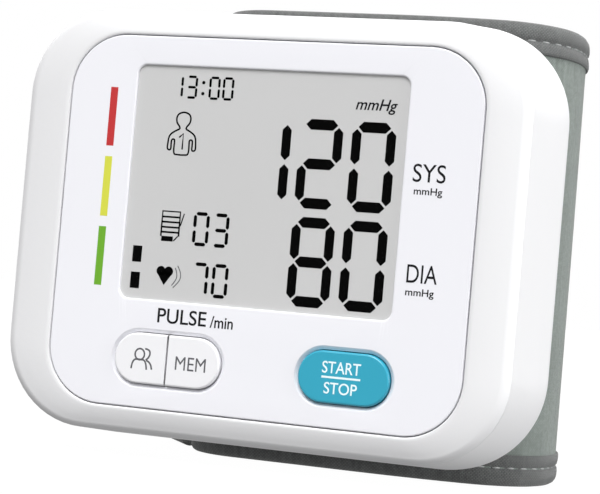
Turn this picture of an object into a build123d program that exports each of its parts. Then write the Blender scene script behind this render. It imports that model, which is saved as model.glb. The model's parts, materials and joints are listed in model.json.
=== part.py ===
import math
import os

from build123d import *

os.makedirs("parts", exist_ok=True)

# Wrist blood pressure monitor, in millimetres. +Z is up the display, the display faces -Y, and the
# monitor stands on the lower rim of its cuff. X = 0 is the middle of the casing. Depths are
# measured towards +Y from the faceplate's front.

# cuff loop
cuff_height = 72.0
mid_z = cuff_height / 2
cuff_near = 20.4  # depth of the cuff's flat front
trim = 0.35  # how far the binding stands off the fabric

# cuff plan: flat front, right end, back, and the left end tucked under the strap
flat_left, flat_len = -9.4, 21.15
right_arcs = [(80.0, 12.0), (13.0, 64.0), (18.0, 14.0), (33.974, 35.0), (22.0, 35.0), (60.0, 20.0)]
left_corner_r, tuck_r, tuck_turn, tuck_len = 9.6, 9.5, 36.0, 9.0

# depth of the cuff's back, where the right end's arcs come round to
cuff_far = cuff_near
heading = 0.0
for arc_r, arc_turn in right_arcs:
    cuff_far += arc_r * (math.cos(math.radians(heading)) - math.cos(math.radians(heading + arc_turn)))
    heading += arc_turn

# keys
key_proud = 0.4
key_travel = 0.5
front_y = -(cuff_far + trim - key_proud) / 2  # puts the origin midway between front and back

# casing
casing_w, casing_h, casing_r = 80.7, 64.6, 13.5
crease_w, crease_h, crease_r = 77.7, 62.6, 12.4
crease_depth = 0.5
split_depth = 2.0
back_depth = 20.2
rim_depth = 5.0  # end of the front housing's rim inside the rear housing
ledge_depth = 2.9
post_depth = 8.0
head_sink = 2.3
draft = 5.5
back_round = 5.0
wall = 1.8
inner_w, inner_h, inner_r = 77.8, 61.4, 10.5
cover_wall = 1.2

# faceplate and display, which sit a little right of the casing's middle
face_x = 0.6
face_w, face_h, face_r, face_t = 66.0, 56.5, 8.75, 1.6
seam = 0.15
window_w, window_h, window_r = 43.64, 35.71, 1.5
window_x, window_z = face_x - 0.26, 5.99

# key places: middle, length and height
key_z, key_h = -20.77, 7.68
pair_x, pair_w, pair_gap = face_x - 13.07, 17.28, 0.3
start_x, start_w = face_x + 15.15, 14.14
key_gap = 0.5
key_flange = 0.9
key_shoulder, key_back = 2.25, 2.9
key_stem_x = 4.1  # from the split to each stem of the pair
dome_depth = 6.4
stem_depth = dome_depth - key_travel - 0.05
dome_spots = [(pair_x - key_stem_x, key_z), (pair_x + key_stem_x, key_z), (start_x, key_z)]

# display panel
lcd_w, lcd_h, lcd_t = 45.0, 37.6, 2.0
lcd_depth = 2.25

# circuit board and what is on it
board_depth, board_t = 7.0, 1.2
board_x, board_w, board_h = -5.0, 54.0, 48.0
board_back = board_depth + board_t
chip_spot = (-6.0, 15.0)
sensor_spot = (-6.0, 0.0)
buzzer_spot = (14.0, 16.0)

# batteries, size AAA
cell_r, cell_len, cell_nub = 5.25, 43.4, 1.0
cell_depth = 13.65
cell_xs = (-33.4, -22.8)
bay_half = 24.2  # half height of the opening over the battery bay
bay_x = -19.5  # right side of that opening
bay_depth = 6.2  # its front edge, on the casing's left side
cover_gap = 0.15
tray_back = 17.5
tray_half = 23.7
cell_low = -21.2  # underside of the batteries
spring_turns = [(2.0, 0.35), (2.4, 0.8), (2.8, 1.25), (3.2, 1.65)]  # radius, drop below the battery
tray_x, tray_w = -16.5, 21.0

# screws
post_spots = [(-29.5, -27.2), (-29.5, 27.2), (33.8, -25.8), (33.8, 25.8)]
screw_r, screw_head_r = 0.84, 1.8
cuff_spots = [(-5.5, -22.0), (-5.5, 22.0), (12.0, 22.0), (3.5, -22.0)]
cuff_screw_r = 0.9

# air pump, standing at the right of the display
pump_x, pump_depth = 31.2, 11.8
pump_r, pump_z, pump_len = 5.9, -17.0, 21.0
head_w, head_len, cavity_r, cavity_len = 12.6, 13.0, 5.0, 5.0
shaft_r, shaft_clear = 0.75, 0.05
eccentric_r, eccentric_shift, eccentric_t = 2.6, 0.9, 2.5

# exhaust valve
valve_x, valve_depth, valve_z = 13.0, 13.6, -20.0
valve_w, valve_d, valve_h = 10.0, 9.0, 12.0
plunger_r, plunger_travel = 1.6, 0.6

# air port into the cuff
port_x, port_z, port_r, port_bore = 5.75, 0.0, 2.0, 1.0
hub_depth = 15.2  # depth of the branch between pump, sensor, valve and port
port_in = 17.0  # where the port starts inside the casing
riser_x = 22.0  # the hose that rises beside the pump

# cuff wall, as depths below its outer face
cover_in = (0.0, 0.9)
stiffener_in = (1.0, 2.1)
bladder_in = (2.2, 3.6)
lining_in = (3.7, 4.6)
cuff_wall = lining_in[1]
binding_h = 5.0
inner_half = 31.0  # half height of the stiffener and the bladder

# strap plan, from the fold at the back round the left side to its tip
strap_fold_x, strap_flat = 0.0, 8.4
fold_gap = 0.3
strap_arcs = [(50.0, 20.0), (11.7, 70.0), (18.0, 36.0)]
strap_tip_len = 12.9
strap_in = (0.0, 1.0)
hook_in = (1.05, 1.95)
hook_low, hook_short = -30.5, 2.0
strap_wall = hook_in[1]


def facing(depth):
    """Plane behind the faceplate, looking out of the display: local x is X, local y is up."""
    return Plane(origin=(0, front_y + depth, mid_z), x_dir=(1, 0, 0), z_dir=(0, -1, 0))


def level(height):
    """Plane across the cuff at a height from its middle: local x is X, local y is depth."""
    return Plane(origin=(0, front_y, mid_z + height), x_dir=(1, 0, 0), z_dir=(0, 0, 1))


def arc_chain(first, turns, inset):
    """Tangent arcs after a line, each given as its outer radius and turn, all turning one way."""
    edge = first
    for radius, turn in turns:
        edge = JernArc(edge @ 1, edge % 1, radius - inset, turn)
    return edge


def wall_edge(inset, with_tuck=True):
    """One face of the cuff wall in plan, inset from its outer face. Returns its two ends."""
    corner = (flat_left, cuff_near + inset)
    flat = Line(corner, (flat_left + flat_len, cuff_near + inset))
    last = arc_chain(flat, right_arcs, inset)
    back = Line(last @ 1, (strap_fold_x + fold_gap, cuff_far - inset))
    left = JernArc(corner, (-1, 0), left_corner_r - inset, -90)
    if not with_tuck:
        return left @ 1, back @ 1
    tuck = JernArc(left @ 1, left % 1, tuck_r + inset, tuck_turn)
    end = Line(tuck @ 1, tuck @ 1 + (tuck % 1) * tuck_len)
    return end @ 1, back @ 1


def strap_edge(inset, short=0.0):
    """One face of the strap in plan, from the fold to the tip. Returns its two ends."""
    start = (strap_fold_x - short, cuff_far - inset)
    flat = Line(start, (strap_fold_x - strap_flat, cuff_far - inset))
    last = arc_chain(flat, strap_arcs, inset)
    tip = Line(last @ 1, last @ 1 + (last % 1) * (strap_tip_len - short))
    return start, tip @ 1


def band(edge, insets, low, high, **limits):
    """Upright wall between two of its faces in plan, from one height to another."""
    with BuildPart() as upright:
        with BuildSketch(level(low)):
            with BuildLine():
                outer = edge(insets[0], **limits)
                inner = edge(insets[1], **limits)
                Line(outer[0], inner[0])
                Line(outer[1], inner[1])
            make_face()
        extrude(amount=high - low)
    return upright.part


def casing_shell(skin):
    """Rear shell of the casing with the battery bay's cover still part of it."""
    with BuildPart() as shell:
        with BuildSketch(facing(split_depth)):
            RectangleRounded(casing_w, casing_h, casing_r)
        extrude(amount=-(back_depth - split_depth), taper=-draft)
        fillet(shell.faces().sort_by(Axis.Y)[-1].edges(), back_round)
        with BuildSketch(facing(back_depth - skin)):
            RectangleRounded(inner_w, inner_h, inner_r)
        extrude(amount=back_depth - skin - split_depth, mode=Mode.SUBTRACT)
    return shell.part


def save(part, name):
    part.label = name
    export_step(part, f"parts/{name}.step")


# ---- casing ----

with BuildPart() as front_housing:
    with BuildSketch(facing(0)):
        with Locations((face_x, 0)):
            RectangleRounded(face_w + 1.2, face_h + 1.2, face_r + 0.6)
    with BuildSketch(facing(crease_depth)):
        RectangleRounded(crease_w, crease_h, crease_r)
    loft()
    with BuildSketch(facing(crease_depth)):
        RectangleRounded(crease_w, crease_h, crease_r)
    with BuildSketch(facing(split_depth)):
        RectangleRounded(casing_w, casing_h, casing_r)
    loft()
    # rim that plugs into the rear housing
    with BuildSketch(facing(rim_depth)):
        RectangleRounded(inner_w - 0.2, inner_h - 0.2, inner_r - 0.1)
    extrude(amount=rim_depth - split_depth)
    with BuildSketch(facing(rim_depth)):
        RectangleRounded(inner_w - 2.6, inner_h - 2.6, inner_r - 1.3)
    extrude(amount=rim_depth - ledge_depth, mode=Mode.SUBTRACT)
    # pocket for the faceplate, and the opening behind it
    with BuildSketch(facing(face_t + 0.1)):
        with Locations((face_x, 0)):
            RectangleRounded(face_w + 2 * seam, face_h + 2 * seam, face_r + seam)
    extrude(amount=face_t + 0.1, mode=Mode.SUBTRACT)
    with BuildSketch(facing(ledge_depth)):
        with Locations((face_x, 0)):
            RectangleRounded(face_w - 5.0, face_h - 5.0, face_r - 2.5)
    extrude(amount=ledge_depth, mode=Mode.SUBTRACT)
    # screw posts
    with BuildSketch(facing(post_depth)):
        with Locations(*post_spots):
            Circle(2.3)
    extrude(amount=post_depth - ledge_depth + 0.1)
    with BuildSketch(facing(post_depth)):
        with Locations(*post_spots):
            Circle(screw_r + 0.01)
    extrude(amount=4.6, mode=Mode.SUBTRACT)
save(front_housing.part, "front_housing")

rear_shell = casing_shell(wall)

with BuildPart() as rear_housing:
    add(rear_shell)
    # bosses over the front housing's posts
    with BuildSketch(facing(back_depth - wall / 2)):
        with Locations(*post_spots):
            Circle(2.4)
    extrude(amount=back_depth - wall / 2 - post_depth - 0.1)
    with BuildSketch(facing(back_depth)):
        with Locations(*post_spots):
            Circle(screw_r + 0.35)
    extrude(amount=back_depth - post_depth, mode=Mode.SUBTRACT)
    with BuildSketch(facing(back_depth + 0.1)):
        with Locations(*post_spots):
            Circle(screw_head_r + 0.2)
    extrude(amount=head_sink, mode=Mode.SUBTRACT)
    # battery opening, round the left back edge, with notches for the cover's rails
    with BuildSketch(facing(back_depth + 1)):
        with Locations((bay_x, 0)):
            Rectangle(40, 2 * bay_half, align=(Align.MAX, Align.CENTER))
    extrude(amount=back_depth + 1 - bay_depth, mode=Mode.SUBTRACT)
    with BuildSketch(facing(back_depth - wall)):
        with Locations((-36.0, 0)):
            Rectangle(10, 2 * bay_half + 2.0, align=(Align.MAX, Align.CENTER))
    extrude(amount=0.9, mode=Mode.SUBTRACT)
    # air port and the cuff's screws
    with BuildSketch(facing(back_depth)):
        with Locations((port_x, port_z)):
            Circle(port_r + 0.1)
        with Locations(*cuff_spots):
            Circle(cuff_screw_r + 0.1)
    extrude(amount=wall, mode=Mode.SUBTRACT)
save(rear_housing.part, "rear_housing")

thin_shell = casing_shell(cover_wall)

with BuildPart() as battery_cover:
    add(thin_shell)
    with BuildSketch(facing(back_depth + 1)):
        with Locations((bay_x - cover_gap, 0)):
            Rectangle(40, 2 * (bay_half - cover_gap), align=(Align.MAX, Align.CENTER))
    extrude(amount=back_depth + 1 - bay_depth - cover_gap, mode=Mode.INTERSECT)
    # rails under the housing's back wall
    with BuildSketch(facing(back_depth - wall - 0.1)):
        for side in (-1, 1):
            with Locations((-27.0, side * 23.8)):
                Rectangle(12.0, 1.8)
    extrude(amount=0.6)
    with BuildSketch(facing(back_depth - 0.5)):
        for side in (-1, 1):
            with Locations((-27.0, side * 23.4)):
                Rectangle(12.0, 1.0)
    extrude(amount=wall)
    # grip ribs
    with BuildSketch(facing(back_depth + 0.4)):
        with GridLocations(2.0, 0, 5, 1):
            with Locations((-31.0, 0)):
                RectangleRounded(0.9, 16.0, 0.4)
    extrude(amount=0.8)
save(battery_cover.part, "battery_cover")

with BuildPart() as housing_screws:
    with BuildSketch(facing(back_depth + 0.1 - head_sink)):
        with Locations(*post_spots):
            Circle(screw_r)
    extrude(amount=back_depth + 0.1 - head_sink - 4.0)
    with BuildSketch(facing(back_depth - 0.5)):
        with Locations(*post_spots):
            Circle(screw_head_r)
    extrude(amount=head_sink - 0.6)
    with BuildSketch(facing(back_depth - 0.5)):
        with Locations(*post_spots):
            Rectangle(2.4, 0.5)
            Rectangle(0.5, 2.4)
    extrude(amount=0.8, mode=Mode.SUBTRACT)
save(housing_screws.part, "housing_screws")

# ---- faceplate, display and keys ----


def key_outline(grow):
    """The pair of keys at the left and the start key at the right, grown all round."""
    with Locations((pair_x, key_z)):
        SlotOverall(pair_w + 2 * grow, key_h + 2 * grow)
    with Locations((start_x, key_z)):
        SlotOverall(start_w + 2 * grow, key_h + 2 * grow)


with BuildPart() as faceplate:
    with BuildSketch(facing(face_t)):
        with Locations((face_x, 0)):
            RectangleRounded(face_w, face_h, face_r)
        with Locations((window_x, window_z)):
            RectangleRounded(window_w, window_h, window_r, mode=Mode.SUBTRACT)
    extrude(amount=face_t)
    chamfer(faces().sort_by(Axis.Y)[0].inner_wires()[0].edges(), 0.35)
    with BuildSketch(facing(face_t)):
        key_outline(key_gap)
    extrude(amount=face_t, mode=Mode.SUBTRACT)
save(faceplate.part, "faceplate")

with BuildPart() as display_lens:
    with BuildSketch(facing(face_t + 0.5)):
        with Locations((window_x, window_z)):
            RectangleRounded(window_w + 2.0, window_h + 2.0, window_r)
    extrude(amount=0.45)
    with BuildSketch(facing(face_t + 0.1)):
        with Locations((window_x, window_z)):
            RectangleRounded(window_w - 0.2, window_h - 0.2, window_r - 0.1)
    extrude(amount=1.2)
save(display_lens.part, "display_lens")

with BuildPart() as lcd_panel:
    with BuildSketch(facing(lcd_depth + lcd_t)):
        with Locations((window_x, window_z)):
            Rectangle(lcd_w, lcd_h)
    extrude(amount=lcd_t)
save(lcd_panel.part, "lcd_panel")

with BuildPart() as lcd_frame:
    with BuildSketch(facing(board_depth - 0.1)):
        with Locations((window_x, window_z)):
            RectangleRounded(lcd_w + 2.2, lcd_h + 1.8, 1.0)
            Rectangle(lcd_w + 0.2, lcd_h + 0.2, mode=Mode.SUBTRACT)
    extrude(amount=board_depth - 0.1 - lcd_depth)
save(lcd_frame.part, "lcd_frame")

with BuildPart() as lcd_connectors:
    with BuildSketch(facing(board_depth)):
        with Locations((window_x, window_z)):
            with GridLocations(0, lcd_h - 3.0, 1, 2):
                Rectangle(lcd_w - 3.0, 2.0)
    extrude(amount=board_depth - lcd_depth - lcd_t)
save(lcd_connectors.part, "lcd_connectors")


def key(name, cut_from, cut_to, centre):
    """A key cut from the outline between two values of X, with a shoulder and a stem."""
    with BuildPart() as cap:
        for front, back, grow in ((-key_proud, key_shoulder, 0), (key_shoulder, key_back, key_flange)):
            with BuildSketch(facing(back)):
                key_outline(grow)
                with Locations(((cut_from + cut_to) / 2, key_z)):
                    Rectangle(cut_to - cut_from, 2 * key_h, mode=Mode.INTERSECT)
            extrude(amount=back - front)
        with BuildSketch(facing(stem_depth)):
            with Locations((centre, key_z)):
                Circle(1.6)
        extrude(amount=stem_depth - key_back)
        crown = cap.faces().filter_by(Axis.Y).sort_by(Axis.Y)[0]
        fillet(crown.edges(), 0.3)
    save(cap.part, name)


key("user_button", pair_x - pair_w, pair_x - pair_gap / 2, pair_x - key_stem_x)
key("memory_button", pair_x + pair_gap / 2, pair_x + pair_w, pair_x + key_stem_x)
key("start_stop_button", start_x - start_w, start_x + start_w, start_x)

with BuildPart() as key_domes:
    with BuildSketch(facing(board_depth)):
        with Locations(*dome_spots):
            Circle(2.5)
    extrude(amount=board_depth - dome_depth, taper=35)
save(key_domes.part, "key_domes")

# ---- electronics ----

with BuildPart() as main_board:
    with BuildSketch(facing(board_back)):
        with Locations((board_x, 0)):
            RectangleRounded(board_w, board_h, 1.0)
    extrude(amount=board_t)
save(main_board.part, "main_board")

with BuildPart() as controller_chip:
    with BuildSketch(facing(board_back + 1.3)):
        with Locations(chip_spot):
            Rectangle(9.0, 9.0)
    extrude(amount=1.2)
    chamfer(faces().sort_by(Axis.Y)[-1].edges(), 0.2)
    with BuildSketch(facing(board_back + 0.4)):
        with Locations(chip_spot):
            with GridLocations(0, 1.0, 1, 8):
                Rectangle(11.6, 0.4)
            with GridLocations(1.0, 0, 8, 1):
                Rectangle(0.4, 11.6)
    extrude(amount=0.4)
save(controller_chip.part, "controller_chip")

with BuildPart() as pressure_sensor:
    with BuildSketch(facing(board_back + 3.0)):
        with Locations(sensor_spot):
            RectangleRounded(7.0, 7.0, 0.6)
    extrude(amount=3.0)
    with BuildSketch(facing(board_back + 5.4)):
        with Locations(sensor_spot):
            Circle(1.3)
    extrude(amount=2.5)
    with BuildSketch(facing(board_back + 5.4)):
        with Locations(sensor_spot):
            Circle(0.5)
    extrude(amount=4.0, mode=Mode.SUBTRACT)
save(pressure_sensor.part, "pressure_sensor")

with BuildPart() as buzzer:
    with BuildSketch(facing(board_back + 2.6)):
        with Locations(buzzer_spot):
            Circle(4.6)
    extrude(amount=2.6)
    with BuildSketch(facing(board_back + 2.6)):
        with Locations(buzzer_spot):
            Circle(0.8)
    extrude(amount=1.0, mode=Mode.SUBTRACT)
save(buzzer.part, "buzzer")


def cell(name, x):
    """One battery on end, with its nub up."""
    with BuildPart() as can:
        with BuildSketch(level(cell_low)):
            with Locations((x, cell_depth)):
                Circle(cell_r)
        extrude(amount=cell_len)
        fillet(can.edges().filter_by(GeomType.CIRCLE), 0.5)
        with BuildSketch(level(cell_low + cell_len)):
            with Locations((x, cell_depth)):
                Circle(1.9)
        extrude(amount=cell_nub)
    save(can.part, name)


for number, cell_x in enumerate(cell_xs, start=1):
    cell(f"battery_{number}", cell_x)

with BuildPart() as battery_contacts:
    for plate_low in (cell_low + cell_len + cell_nub, 0.1 - tray_half):
        with BuildSketch(level(plate_low)):
            for cell_x in cell_xs:
                with Locations((cell_x, cell_depth)):
                    RectangleRounded(7.4, 7.4, 1.0)
        extrude(amount=0.4)
save(battery_contacts.part, "battery_contacts")

with BuildPart() as battery_springs:
    for cell_x in cell_xs:
        for turn_r, drop in spring_turns:
            with Locations(Location((cell_x, front_y + cell_depth, mid_z + cell_low - drop))):
                Torus(turn_r, 0.35)
save(battery_springs.part, "battery_springs")

with BuildPart() as battery_tray:
    with BuildSketch(facing(tray_back)):
        with Locations((tray_x, 0)):
            Rectangle(tray_w, 2 * tray_half + 1.6, align=(Align.MAX, Align.CENTER))
        with Locations((tray_x - 0.9, 0)):
            Rectangle(tray_w, 2 * tray_half, align=(Align.MAX, Align.CENTER), mode=Mode.SUBTRACT)
    extrude(amount=tray_back - board_back - 0.1)
save(battery_tray.part, "battery_tray")

# ---- air pump, valve and pipes ----

with BuildPart() as pump_motor:
    with BuildSketch(level(pump_z)):
        with Locations((pump_x, pump_depth)):
            Circle(pump_r)
            Rectangle(2 * pump_r, 10.0, mode=Mode.INTERSECT)
    extrude(amount=pump_len)
    with BuildSketch(level(pump_z - 1.0)):
        with Locations((pump_x, pump_depth)):
            Circle(2.4)
    extrude(amount=1.0)
    with BuildSketch(level(pump_z + pump_len)):
        with Locations((pump_x, pump_depth)):
            Circle(shaft_r + shaft_clear)
    extrude(amount=-(pump_len - 2.0), mode=Mode.SUBTRACT)
save(pump_motor.part, "pump_motor")

with BuildPart() as pump_shaft:
    with BuildSketch(level(pump_z + 2.2)):
        with Locations((pump_x, pump_depth)):
            Circle(shaft_r)
    extrude(amount=pump_len - 2.2 + 3.6)
save(pump_shaft.part, "pump_shaft")

with BuildPart() as pump_eccentric:
    with BuildSketch(level(pump_z + pump_len + 0.6)):
        with Locations((pump_x, pump_depth + eccentric_shift)):
            Circle(eccentric_r)
        with Locations((pump_x, pump_depth)):
            Circle(shaft_r, mode=Mode.SUBTRACT)
    extrude(amount=eccentric_t)
save(pump_eccentric.part, "pump_eccentric")

with BuildPart() as pump_head:
    with BuildSketch(level(pump_z + pump_len)):
        with Locations((pump_x, pump_depth)):
            RectangleRounded(head_w, head_w, 1.5)
    extrude(amount=head_len)
    with BuildSketch(level(pump_z + pump_len)):
        with Locations((pump_x, pump_depth)):
            Circle(cavity_r)
    extrude(amount=cavity_len, mode=Mode.SUBTRACT)
    # slot that holds the diaphragm
    with BuildSketch(level(pump_z + pump_len + cavity_len)):
        with Locations((pump_x, pump_depth)):
            Circle(cavity_r + 0.6)
    extrude(amount=1.2, mode=Mode.SUBTRACT)
    # outlet
    with BuildSketch(level(pump_z + pump_len + head_len)):
        with Locations((pump_x - 2.6, pump_depth)):
            Circle(1.4)
    extrude(amount=4.0)
    with BuildSketch(level(pump_z + pump_len + head_len + 4.0)):
        with Locations((pump_x - 2.6, pump_depth)):
            Circle(0.6)
    extrude(amount=-8.0, mode=Mode.SUBTRACT)
save(pump_head.part, "pump_head")

with BuildPart() as pump_diaphragm:
    with BuildSketch(level(pump_z + pump_len + cavity_len)):
        with Locations((pump_x, pump_depth)):
            Circle(cavity_r + 0.6)
    extrude(amount=1.2)
save(pump_diaphragm.part, "pump_diaphragm")

with BuildPart() as exhaust_valve:
    with BuildSketch(level(valve_z - valve_h / 2)):
        with Locations((valve_x, valve_depth)):
            RectangleRounded(valve_w, valve_d, 0.8)
    extrude(amount=valve_h)
    with BuildSketch(level(valve_z + valve_h / 2)):
        with Locations((valve_x, valve_depth)):
            Circle(plunger_r + 0.05)
    extrude(amount=-8.0, mode=Mode.SUBTRACT)
save(exhaust_valve.part, "exhaust_valve")

with BuildPart() as valve_plunger:
    with BuildSketch(level(valve_z + valve_h / 2 - 8.0 + plunger_travel + 0.2)):
        with Locations((valve_x, valve_depth)):
            Circle(plunger_r)
    extrude(amount=8.4)
    with BuildSketch(level(valve_z + valve_h / 2 + plunger_travel + 0.3)):
        with Locations((valve_x, valve_depth)):
            Circle(2.4)
    extrude(amount=0.8)
save(valve_plunger.part, "valve_plunger")


def pipe(*runs):
    """Hollow pipe along straight runs, each given by its two ends, its outer radius and its bore."""
    with BuildPart() as tube:
        for size, mode in ((2, Mode.ADD), (3, Mode.SUBTRACT)):
            for run in runs:
                start, end = (Vector(x, front_y + depth, mid_z + z) for x, depth, z in run[:2])
                with BuildSketch(Plane(origin=start, z_dir=end - start)):
                    Circle(run[size])
                extrude(amount=(end - start).length, mode=mode)
    return tube.part


# branch between the pump, the sensor, the valve and the cuff
air_joint = pipe(
    ((port_x - 5.0, hub_depth, port_z), (port_x + 5.0, hub_depth, port_z), 1.5, 0.6),
    ((port_x, hub_depth, port_z), (port_x, hub_depth, port_z - 5.0), 1.4, 0.5),
    ((port_x, hub_depth, port_z), (port_x, port_in, port_z), 1.45, 0.55),
)
save(air_joint, "air_joint")

sensor_hose = pipe(
    ((port_x - 5.0, hub_depth, port_z), (sensor_spot[0], hub_depth, port_z), 1.5, 0.6),
    ((sensor_spot[0], hub_depth, port_z), (sensor_spot[0], board_back + 5.4, port_z), 1.4, 0.5),
)
save(sensor_hose, "sensor_hose")


def hose(name, bend, *points):
    """Solid of a soft hose along straight runs with rounded corners."""
    with BuildPart() as tube:
        with BuildLine():
            path = FilletPolyline(*[(x, front_y + depth, mid_z + z) for x, depth, z in points], radius=bend)
        with BuildSketch(Plane(origin=path @ 0, z_dir=path % 0)):
            Circle(1.5)
        sweep(path=path)
    save(tube.part, name)


outlet_x, outlet_z = pump_x - 2.6, pump_z + pump_len + head_len + 4.0
hose(
    "pump_hose", 3.0,
    (port_x + 5.0, hub_depth, port_z), (riser_x, hub_depth, port_z), (riser_x, hub_depth, outlet_z + 3.5),
    (outlet_x, pump_depth, outlet_z + 3.5), (outlet_x, pump_depth, outlet_z),
)
hose(
    "valve_hose", 2.0,
    (port_x, hub_depth, port_z - 5.0), (port_x, hub_depth, valve_z + 2.0),
    (valve_x - valve_w / 2, hub_depth, valve_z + 2.0),
)
save(pipe(((port_x, port_in, port_z), (port_x, cuff_near + bladder_in[1], port_z), port_r, port_bore)), "cuff_port")

# ---- cuff ----


def near_holes(with_screws):
    """Holes through the cuff's flat front for the air port, and for its screws."""
    with BuildPart() as holes:
        with BuildSketch(facing(cuff_near + cuff_wall + 1)):
            with Locations((port_x, port_z)):
                Circle(port_r + 0.1)
            if with_screws:
                with Locations(*cuff_spots):
                    Circle(cuff_screw_r + 0.1)
        extrude(amount=cuff_wall + 2)
    return holes.part


wide_holes = near_holes(True)
port_hole = near_holes(False)
edge = cuff_height / 2 - trim
cover_blank = band(wall_edge, cover_in, -edge, edge)
stiffener_blank = band(wall_edge, stiffener_in, -inner_half, inner_half, with_tuck=False)
bladder_blank = band(wall_edge, bladder_in, -inner_half, inner_half, with_tuck=False)

with BuildPart() as cuff_cover:
    add(cover_blank)
    add(wide_holes, mode=Mode.SUBTRACT)
save(cuff_cover.part, "cuff_cover")

with BuildPart() as cuff_stiffener:
    add(stiffener_blank)
    add(wide_holes, mode=Mode.SUBTRACT)
save(cuff_stiffener.part, "cuff_stiffener")

with BuildPart() as air_bladder:
    add(bladder_blank)
    add(port_hole, mode=Mode.SUBTRACT)
save(air_bladder.part, "air_bladder")

save(band(wall_edge, lining_in, -edge, edge), "cuff_lining")


def binding(low, high, edge_in, side):
    """Folded strip over one rim of the cuff or the strap, between two heights."""
    shell = band(edge_in[0], (-trim, edge_in[1] + trim), low, high)
    filling = band(edge_in[0], (0, edge_in[1]), low + trim * (side < 0) - 1 * (side > 0),
                   high - trim * (side > 0) + 1 * (side < 0))
    with BuildPart() as strip:
        add(shell)
        add(filling, mode=Mode.SUBTRACT)
    return strip.part


half = cuff_height / 2
save(binding(half - binding_h, half, (wall_edge, cuff_wall), 1), "binding_top")
save(binding(-half, binding_h - half, (wall_edge, cuff_wall), -1), "binding_bottom")

with BuildPart() as cuff_screws:
    with BuildSketch(facing(cuff_near + stiffener_in[1] - 0.1)):
        with Locations(*cuff_spots):
            Circle(cuff_screw_r)
    extrude(amount=cuff_near + stiffener_in[1] - 0.1 - back_depth + wall)
    with BuildSketch(facing(back_depth - wall)):
        with Locations(*cuff_spots):
            Circle(screw_head_r)
    extrude(amount=1.4)
    with BuildSketch(facing(back_depth - wall - 1.4)):
        with Locations(*cuff_spots):
            Rectangle(2.4, 0.5)
            Rectangle(0.5, 2.4)
    extrude(amount=-0.7, mode=Mode.SUBTRACT)
save(cuff_screws.part, "cuff_screws")

# ---- strap, which folds open at the cuff's back ----

save(band(strap_edge, strap_in, -edge, edge), "strap")
save(band(strap_edge, hook_in, hook_low, -hook_low, short=hook_short), "strap_hook_patch")
save(binding(half - binding_h, half, (strap_edge, strap_wall), 1), "strap_binding_top")
save(binding(-half, binding_h - half, (strap_edge, strap_wall), -1), "strap_binding_bottom")
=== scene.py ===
import json
import math

import bmesh
import bpy
from mathutils import Matrix, Vector, noise
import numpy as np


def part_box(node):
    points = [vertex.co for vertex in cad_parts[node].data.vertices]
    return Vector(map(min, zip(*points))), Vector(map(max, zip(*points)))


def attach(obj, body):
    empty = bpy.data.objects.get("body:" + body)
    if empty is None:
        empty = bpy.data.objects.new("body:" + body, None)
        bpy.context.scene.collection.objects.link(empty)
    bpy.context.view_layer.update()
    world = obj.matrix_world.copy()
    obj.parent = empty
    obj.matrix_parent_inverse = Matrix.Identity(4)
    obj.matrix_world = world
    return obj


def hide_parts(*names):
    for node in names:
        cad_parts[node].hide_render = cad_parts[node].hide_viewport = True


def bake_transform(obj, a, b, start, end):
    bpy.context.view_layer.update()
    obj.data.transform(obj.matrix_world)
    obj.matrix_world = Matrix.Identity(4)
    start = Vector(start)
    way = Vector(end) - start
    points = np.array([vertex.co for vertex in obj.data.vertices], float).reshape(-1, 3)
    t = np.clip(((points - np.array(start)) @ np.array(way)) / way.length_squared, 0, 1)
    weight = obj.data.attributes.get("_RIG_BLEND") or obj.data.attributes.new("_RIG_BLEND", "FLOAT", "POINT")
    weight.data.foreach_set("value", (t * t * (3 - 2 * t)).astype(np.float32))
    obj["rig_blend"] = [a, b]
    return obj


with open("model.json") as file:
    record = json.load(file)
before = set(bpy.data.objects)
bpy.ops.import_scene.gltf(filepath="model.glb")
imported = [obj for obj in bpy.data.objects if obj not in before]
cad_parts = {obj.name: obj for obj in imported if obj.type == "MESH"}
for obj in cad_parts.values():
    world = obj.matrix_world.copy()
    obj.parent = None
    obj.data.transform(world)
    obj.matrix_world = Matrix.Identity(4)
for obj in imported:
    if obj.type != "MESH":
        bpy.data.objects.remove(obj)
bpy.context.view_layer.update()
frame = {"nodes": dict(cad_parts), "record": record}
nodes = frame["nodes"]
mm = 0.001

faceLow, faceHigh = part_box("faceplate")
faceMid = (faceLow + faceHigh) / 2
frontY, midZ = faceLow.y / mm, faceMid.z / mm
caseLow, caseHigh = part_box("front_housing")
caseShift = ((caseLow + caseHigh) / 2 - faceMid).x / mm  # casing's middle, seen from the faceplate's


def onFace(x, z, depth):
    # millimetres right of, above and behind the middle of the faceplate's front
    return Vector((faceMid.x + x * mm, faceLow.y + depth * mm, faceMid.z + z * mm))


# ---- camera, lights and floor

view = {"from": (0.111223, -0.312669, 0.027047), "around": 20.4372, "below": 1.3092, "tilt": 4.9392, "lens": 121.17}
cameraData = bpy.data.cameras.new("camera")
cameraData.lens = view["lens"]
cameraData.sensor_width = 36
cameraData.clip_start = 0.01
camera = bpy.data.objects.new("camera", cameraData)
bpy.context.scene.collection.objects.link(camera)
camera.matrix_world = (
    Matrix.Translation(view["from"])
    @ Matrix.Rotation(math.radians(view["around"]), 4, "Z")
    @ Matrix.Rotation(math.radians(90 + view["below"]), 4, "X")
    @ Matrix.Rotation(math.radians(view["tilt"]), 4, "Z")
)
bpy.context.scene.camera = camera
bpy.context.scene.view_settings.view_transform = "Standard"
bpy.context.scene.view_settings.look = "None"

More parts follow.
